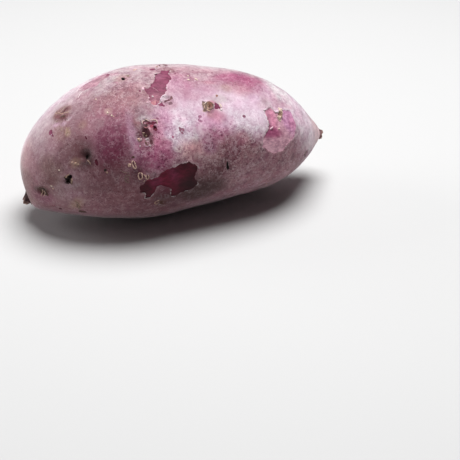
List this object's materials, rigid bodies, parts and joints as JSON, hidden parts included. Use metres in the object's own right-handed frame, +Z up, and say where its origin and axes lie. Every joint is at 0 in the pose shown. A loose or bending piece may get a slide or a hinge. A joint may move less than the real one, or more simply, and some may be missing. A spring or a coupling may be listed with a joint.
{
  "type": "purple potato",
  "caption": "Whole purple sweet potato lying on its side, blunt at one end and narrow at the other, with eyes, pits, corky knots, peeled skin patches and a broken root stub.",
  "frame": {"origin": "on the surface the tuber lies on, under the middle of the box round the whole tuber", "axes": "+X runs along the length from the blunt end with the root stub to the narrow end; -Y is the side that faces the viewer; +Z is up"},
  "size_m": [0.1502, 0.0744, 0.0689],
  "materials": {
    "skin": "matte, papery, mottled lilac to plum with peeled magenta patches and corky brown eyes"
  },
  "bodies": {
    "root": {"tuber": "skin"}
  },
  "joints": []
}
